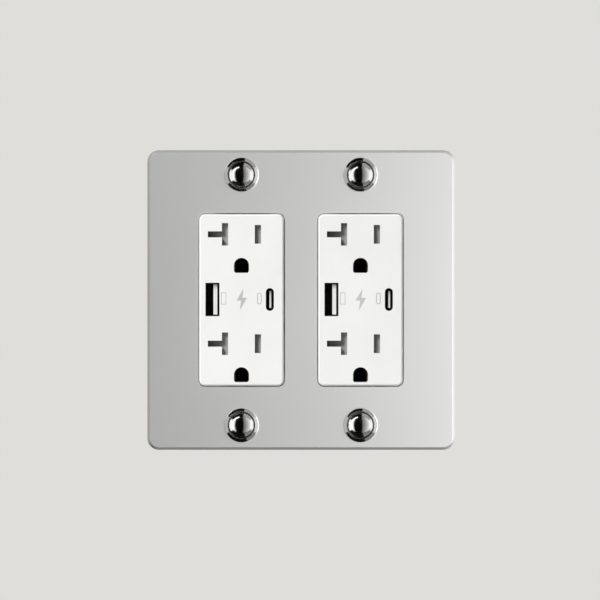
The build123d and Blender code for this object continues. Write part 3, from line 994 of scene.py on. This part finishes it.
def makeWorld():
    world = bpy.data.worlds.new("studio")
    bpy.context.scene.world = world
    world.use_nodes = True
    tree = world.node_tree
    tree.nodes.clear()
    output = tree.nodes.new("ShaderNodeOutputWorld")
    mix = tree.nodes.new("ShaderNodeMixShader")
    seen = tree.nodes.new("ShaderNodeBackground")
    seen.inputs["Color"].default_value = (*studio["backdrop"], 1)
    lit = tree.nodes.new("ShaderNodeBackground")
    lit.inputs["Color"].default_value = (1, 1, 1, 1)
    lit.inputs["Strength"].default_value = studio["fill"]
    path = tree.nodes.new("ShaderNodeLightPath")
    first = tree.nodes.new("ShaderNodeMath")
    first.operation = "MAXIMUM"
    second = tree.nodes.new("ShaderNodeMath")
    second.operation = "MAXIMUM"
    tree.links.new(path.outputs["Is Camera Ray"], first.inputs[0])
    tree.links.new(path.outputs["Is Glossy Ray"], first.inputs[1])
    tree.links.new(first.outputs[0], second.inputs[0])
    tree.links.new(path.outputs["Is Transmission Ray"], second.inputs[1])
    tree.links.new(second.outputs[0], mix.inputs["Fac"])
    tree.links.new(lit.outputs[0], mix.inputs[1])
    tree.links.new(seen.outputs[0], mix.inputs[2])
    tree.links.new(mix.outputs[0], output.inputs["Surface"])


def softbox(name, place, aim, size, power, along):
    light = bpy.data.lights.new(name, "AREA")
    light.shape = "RECTANGLE"
    light.size, light.size_y = size
    light.energy = power
    lamp = bpy.data.objects.new(name, light)
    bpy.context.collection.objects.link(lamp)
    lamp.location = place
    back = (Vector(place) - Vector(aim)).normalized()
    across = (Vector(along) - back * back.dot(Vector(along))).normalized()
    lamp.rotation_mode = "QUATERNION"
    lamp.rotation_quaternion = Matrix((across, back.cross(across), back)).transposed().to_quaternion()
    return lamp


# metres and watts; along is the way of a lamp's long side, and each metal has lamps of its own,
# because polished and satin faces need other levels than the plastic beside them
lamps = {
    "plateRight": {
        "at": (0.46, -0.47, -0.02), "aim": (0.03, 0, 0), "size": (0.5, 0.42), "power": 4.9,
        "lights": "plate",
    },
    "plateUpperLeft": {
        "at": (-0.42, -0.4, 0.42), "aim": (-0.03, 0, 0.03), "size": (0.35, 0.2), "power": 1.55,
        "along": (0.7, 0, 0.7), "lights": "plate",
    },
    "plateAbove": {
        "at": (0, -0.15, 1.1), "aim": (0, 0, 0), "size": (1.6, 0.4), "power": 2.2, "lights": "plate",
    },
    "plateBelow": {
        "at": (0, -0.15, -1.1), "aim": (0, 0, 0), "size": (1.6, 0.4), "power": 1.2, "lights": "plate",
    },
    "domeStrip": {
        "at": (-0.535, -0.456, 0.606), "aim": (0, 0, 0), "size": (0.7, 0.14), "power": 0.5,
        "along": (0.591, -0.118, 0.432), "lights": "domes",
    },
    "domeLeft": {
        "at": (-1.0, -0.3, -0.06), "aim": (0, -0.1, 0), "size": (0.7, 1.1), "power": 1.35,
        "along": (0, 1, 0), "lights": "domes",
    },
    "domeRight": {
        "at": (1.0, -0.22, 0.0), "aim": (0, -0.1, 0), "size": (0.62, 0.9), "power": 0.6,
        "along": (0, 1, 0), "lights": "domes",
    },
    "keyUpperLeft": {
        "at": (-1.1, -1.4, 1.34), "aim": (0, 0, 0), "size": (0.9, 0.9), "power": 59.0,
        "along": (0.7, 0, 0.7), "lights": "all but metal front",
    },
    "rearFill": {
        "at": (-0.35, 1.3, 0.8), "aim": (0, 0, 0), "size": (0.8, 0.8), "power": 14.0,
        "lights": "all but domes and collars",
    },
    "rightFill": {
        "at": (1.3, 0.7, 0.35), "aim": (0, 0.01, 0), "size": (0.8, 0.8), "power": 9.0,
        "lights": "all but metal front",
    },
}


def lampGroup(name, targets):
    group = bpy.data.collections.new(name)
    for target in targets:
        group.objects.link(target)
    return group


def only(lamp, *targets):
    # the lamp lights these objects and nothing else, and nothing else shades them from it
    lamp.light_linking.receiver_collection = lampGroup(lamp.name + "Lit", targets)
    lamp.light_linking.blocker_collection = lampGroup(lamp.name + "Shades", targets)


def allBut(lamp, *targets):
    group = lampGroup(lamp.name + "Unlit", targets)
    lamp.light_linking.receiver_collection = group
    for entry in group.collection_objects:
        entry.light_linking.link_state = "EXCLUDE"


def placeLamps():
    plate = frame["nodes"]["wall_plate"]
    for name, plan in lamps.items():
        along = plan.get("along", (1, 0, 0))
        lamp = softbox(name, plan["at"], plan["aim"], plan["size"], plan["power"], along)
        if plan["lights"] == "plate":
            only(lamp, plate)
        elif plan["lights"] == "domes":
            only(lamp, domes)
        elif plan["lights"] == "all but metal front":
            allBut(lamp, plate, domes, collars)
        else:
            allBut(lamp, domes, collars)


def darkCard(name, corners, cover=1.0, fade=None):
    # black card that only metal shows, as in a studio; cover is how much of the backdrop it hides,
    # fade is a pair of X places between which that falls to nothing
    mesh = bpy.data.meshes.new(name)
    mesh.from_pydata(corners, [], [range(len(corners))])
    card = bpy.data.objects.new(name, mesh)
    bpy.context.collection.objects.link(card)
    material, tree, shader = newMaterial(name, (0.006, 0.006, 0.006), 1.0)
    shader.inputs["Specular IOR Level"].default_value = 0.0
    shader.inputs["Alpha"].default_value = cover
    if fade:
        source = tree.nodes.new("ShaderNodeTexCoord")
        place = tree.nodes.new("ShaderNodeSeparateXYZ")
        thin = tree.nodes.new("ShaderNodeMapRange")
        thin.inputs["From Min"].default_value = fade[0]
        thin.inputs["From Max"].default_value = fade[1]
        thin.inputs["To Min"].default_value = cover
        thin.inputs["To Max"].default_value = 0.0
        tree.links.new(source.outputs["Object"], place.inputs["Vector"])
        tree.links.new(place.outputs["X"], thin.inputs["Value"])
        tree.links.new(thin.outputs["Result"], shader.inputs["Alpha"])
    mesh.materials.append(material)
    card.visible_camera = False
    card.visible_diffuse = False
    card.visible_shadow = False
    card.visible_transmission = False


def uprightCard(name, x, y, z, **more):
    # card across the view at one depth; x and z are pairs
    darkCard(name, [(x[0], y, z[0]), (x[1], y, z[0]), (x[1], y, z[1]), (x[0], y, z[1])], **more)


def levelCard(name, x, y, z, **more):
    darkCard(name, [(x[0], y[0], z), (x[1], y[0], z), (x[1], y[1], z), (x[0], y[1], z)], **more)


def sideCard(name, x, y, z, **more):
    darkCard(name, [(x, y[0], z[0]), (x, y[1], z[0]), (x, y[1], z[1]), (x, y[0], z[1])], **more)


cardY = -1.2  # depth of the upright cards, between the camera and the plate
cardLevel = 1.3  # height of the level cards above and below the middle


def placeCards():
    uprightCard("cardMiddle", (-1.26, 0.3), cardY, (-2.6, 2.6))
    uprightCard("cardFade", (0.3, 1.7), cardY, (-2.6, 2.6), cover=0.8, fade=(0.3, 1.7))
    levelCard("cardTop", (-2.2, 0.25), (-0.75, 1.0), cardLevel)
    levelCard("cardTopRight", (0.25, 2.2), (-0.75, 1.0), cardLevel, cover=0.5)
    levelCard("cardBottom", (-2.2, 0.4), (-0.9, 1.0), -cardLevel)
    levelCard("cardBottomRight", (0.4, 2.2), (-0.9, 1.0), -cardLevel, cover=0.7)
    sideCard("cardLeft", -1.2, (-0.6, 1.2), (-1.3, 1.3), cover=0.3)


photoView = {
    "pixel": 0.387,  # mm of the plate in one pixel
    "width": 600,
    "plateCentrePixel": 301.0,
    "plateFront": 6.0,  # mm before the wall
    "distance": 1.5,  # metres from the plate's front
    "sensor": 36,
}


def makeCamera():
    # the view is straight on, level, and wide enough for the photograph's whole frame
    data = bpy.data.cameras.new("photoCamera")
    camera = bpy.data.objects.new("photoCamera", data)
    bpy.context.collection.objects.link(camera)
    widthSeen = photoView["pixel"] * photoView["width"] * mm
    data.sensor_width = photoView["sensor"]
    data.lens = photoView["sensor"] * photoView["distance"] / widthSeen
    side = (photoView["width"] / 2 - photoView["plateCentrePixel"]) * photoView["pixel"] * mm
    camera.location = (side, -photoView["distance"] - photoView["plateFront"] * mm, 0)
    camera.rotation_euler = (math.radians(90), 0, 0)
    data.clip_start = 0.05
    data.clip_end = 20
    bpy.context.scene.camera = camera


makeFloor()
makeWorld()
placeLamps()
placeCards()
makeCamera()

scene = bpy.context.scene
scene.view_settings.view_transform = "Standard"
print("stage: floor, lamps and camera")
